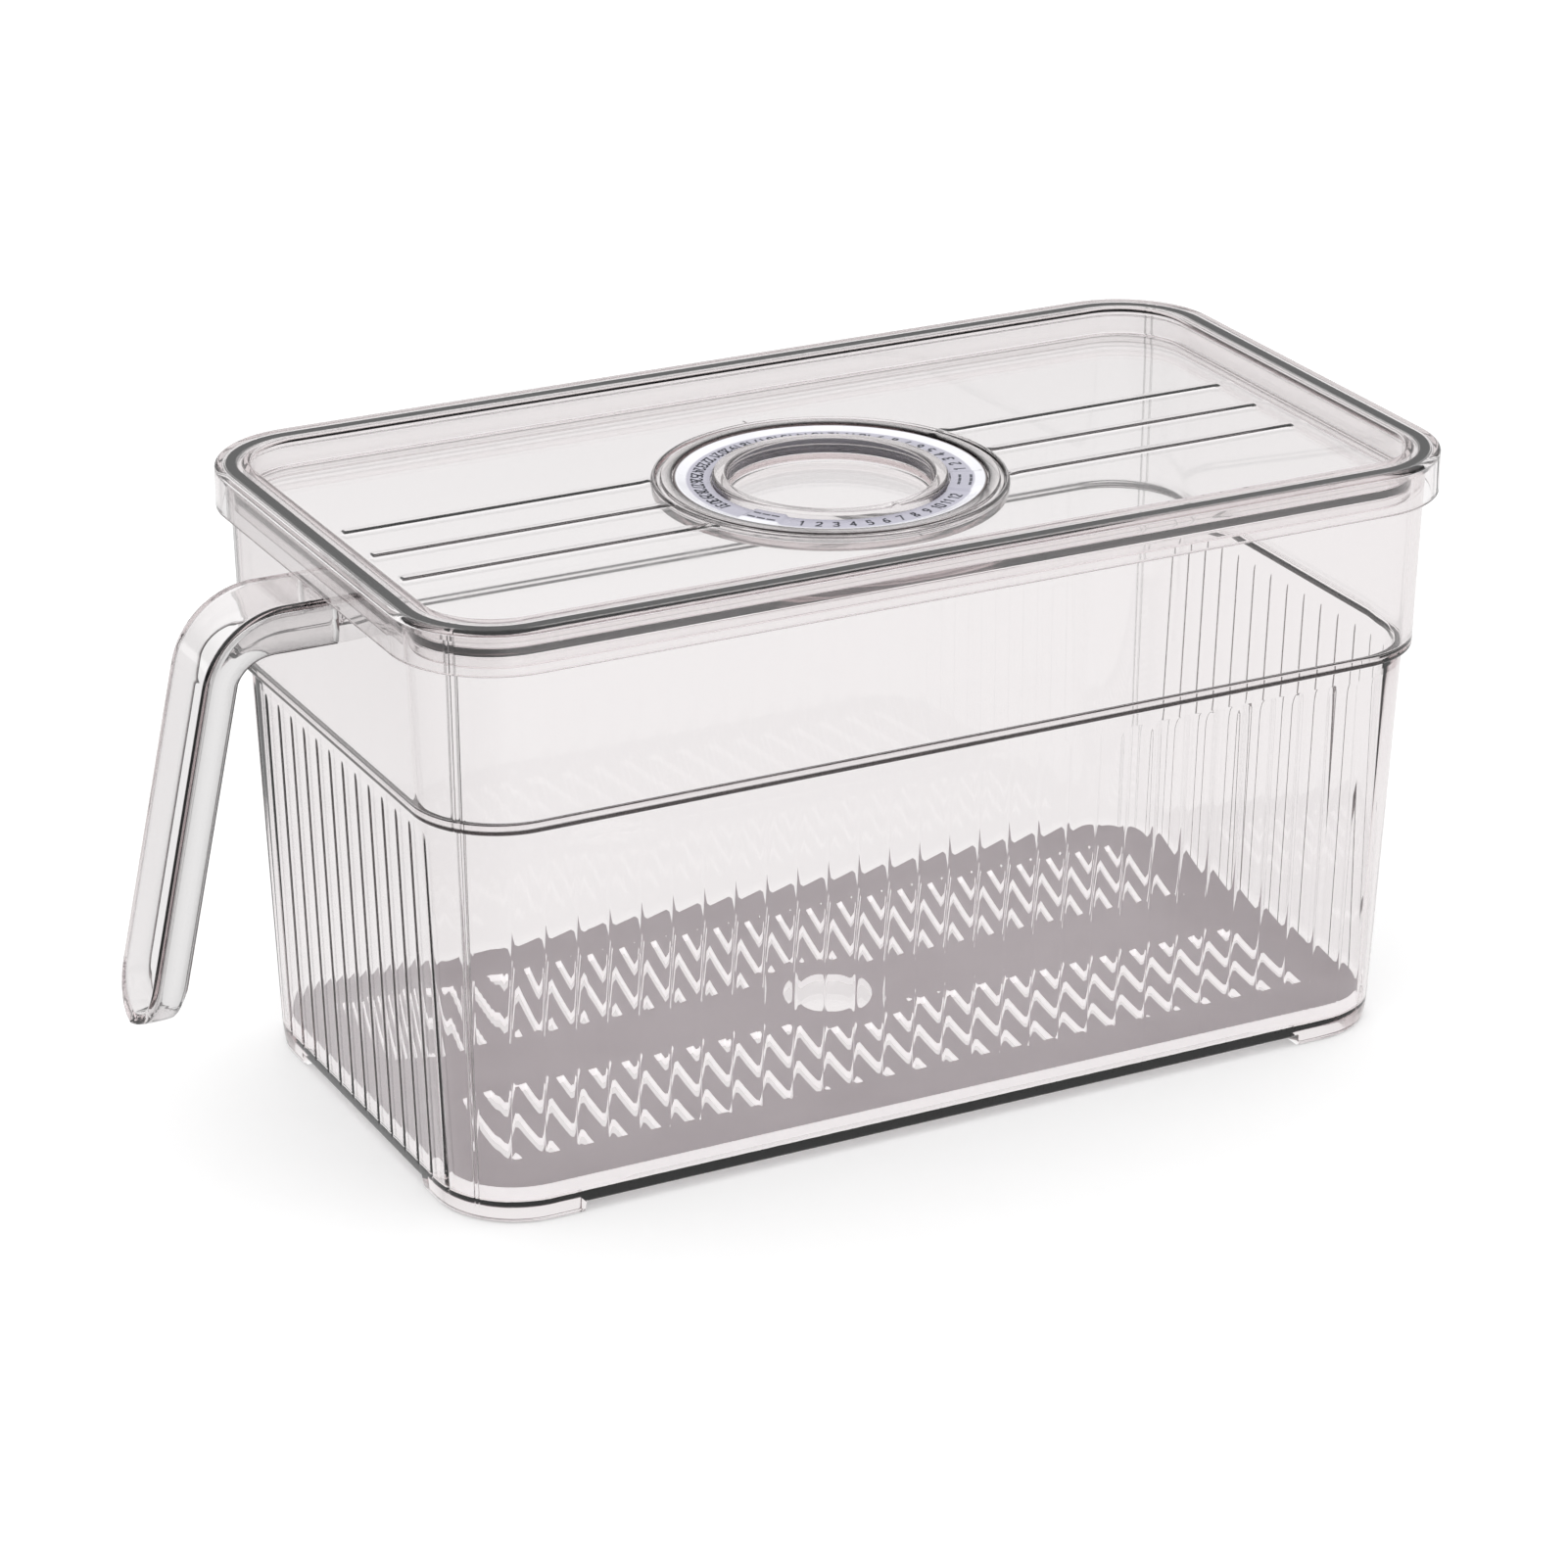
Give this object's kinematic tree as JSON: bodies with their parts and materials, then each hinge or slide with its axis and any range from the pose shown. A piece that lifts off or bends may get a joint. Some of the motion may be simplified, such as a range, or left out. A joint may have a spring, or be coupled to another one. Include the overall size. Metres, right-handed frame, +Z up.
{
  "type": "fridge storage container",
  "caption": "Clear fluted storage bin with an end handle, a slotted drain tray on its floor and a lift-off lid whose sunken panel carries a turning date dial.",
  "frame": {"origin": "centre of the footprint of the whole object, handle included, at the bottom of the feet", "axes": "+Z up, X along the bin with the handle at the -X end, Y across the bin"},
  "size_m": [0.352, 0.166, 0.1668],
  "materials": {
    "clear_body": "polished clear moulded plastic",
    "clear_handle": "polished clear moulded plastic",
    "clear_lid": "polished clear moulded plastic",
    "clear_ring": "polished clear moulded plastic",
    "printed_disc": "clear plastic with small dark printed numbers",
    "grey_tray": "smooth satin moulded plastic"
  },
  "bodies": {
    "bin": {"bin": "clear_body", "handle": "clear_handle"},
    "tray": {"drain_tray": "grey_tray"},
    "lid": {"lid": "clear_lid", "number_disc": "printed_disc"},
    "outer_ring": {"pointer_ring": "clear_ring"},
    "inner_ring": {"grip_ring": "clear_ring"}
  },
  "joints": [
    {"name": "lid_lift", "type": "slide", "parent": "bin", "child": "lid", "axis": [0, 0, 1], "range_m": [0, 0.18]},
    {"name": "tray_lift", "type": "slide", "parent": "bin", "child": "tray", "axis": [0, 0, 1], "range_m": [0, 0.12]},
    {"name": "outer_ring_turn", "type": "hinge", "parent": "lid", "child": "outer_ring", "pos_m": [0.02598, 0, 0.1584], "axis": [0, 0, 1], "continuous": true},
    {"name": "inner_ring_turn", "type": "hinge", "parent": "lid", "child": "inner_ring", "pos_m": [0.02598, 0, 0.1584], "axis": [0, 0, 1], "continuous": true}
  ]
}
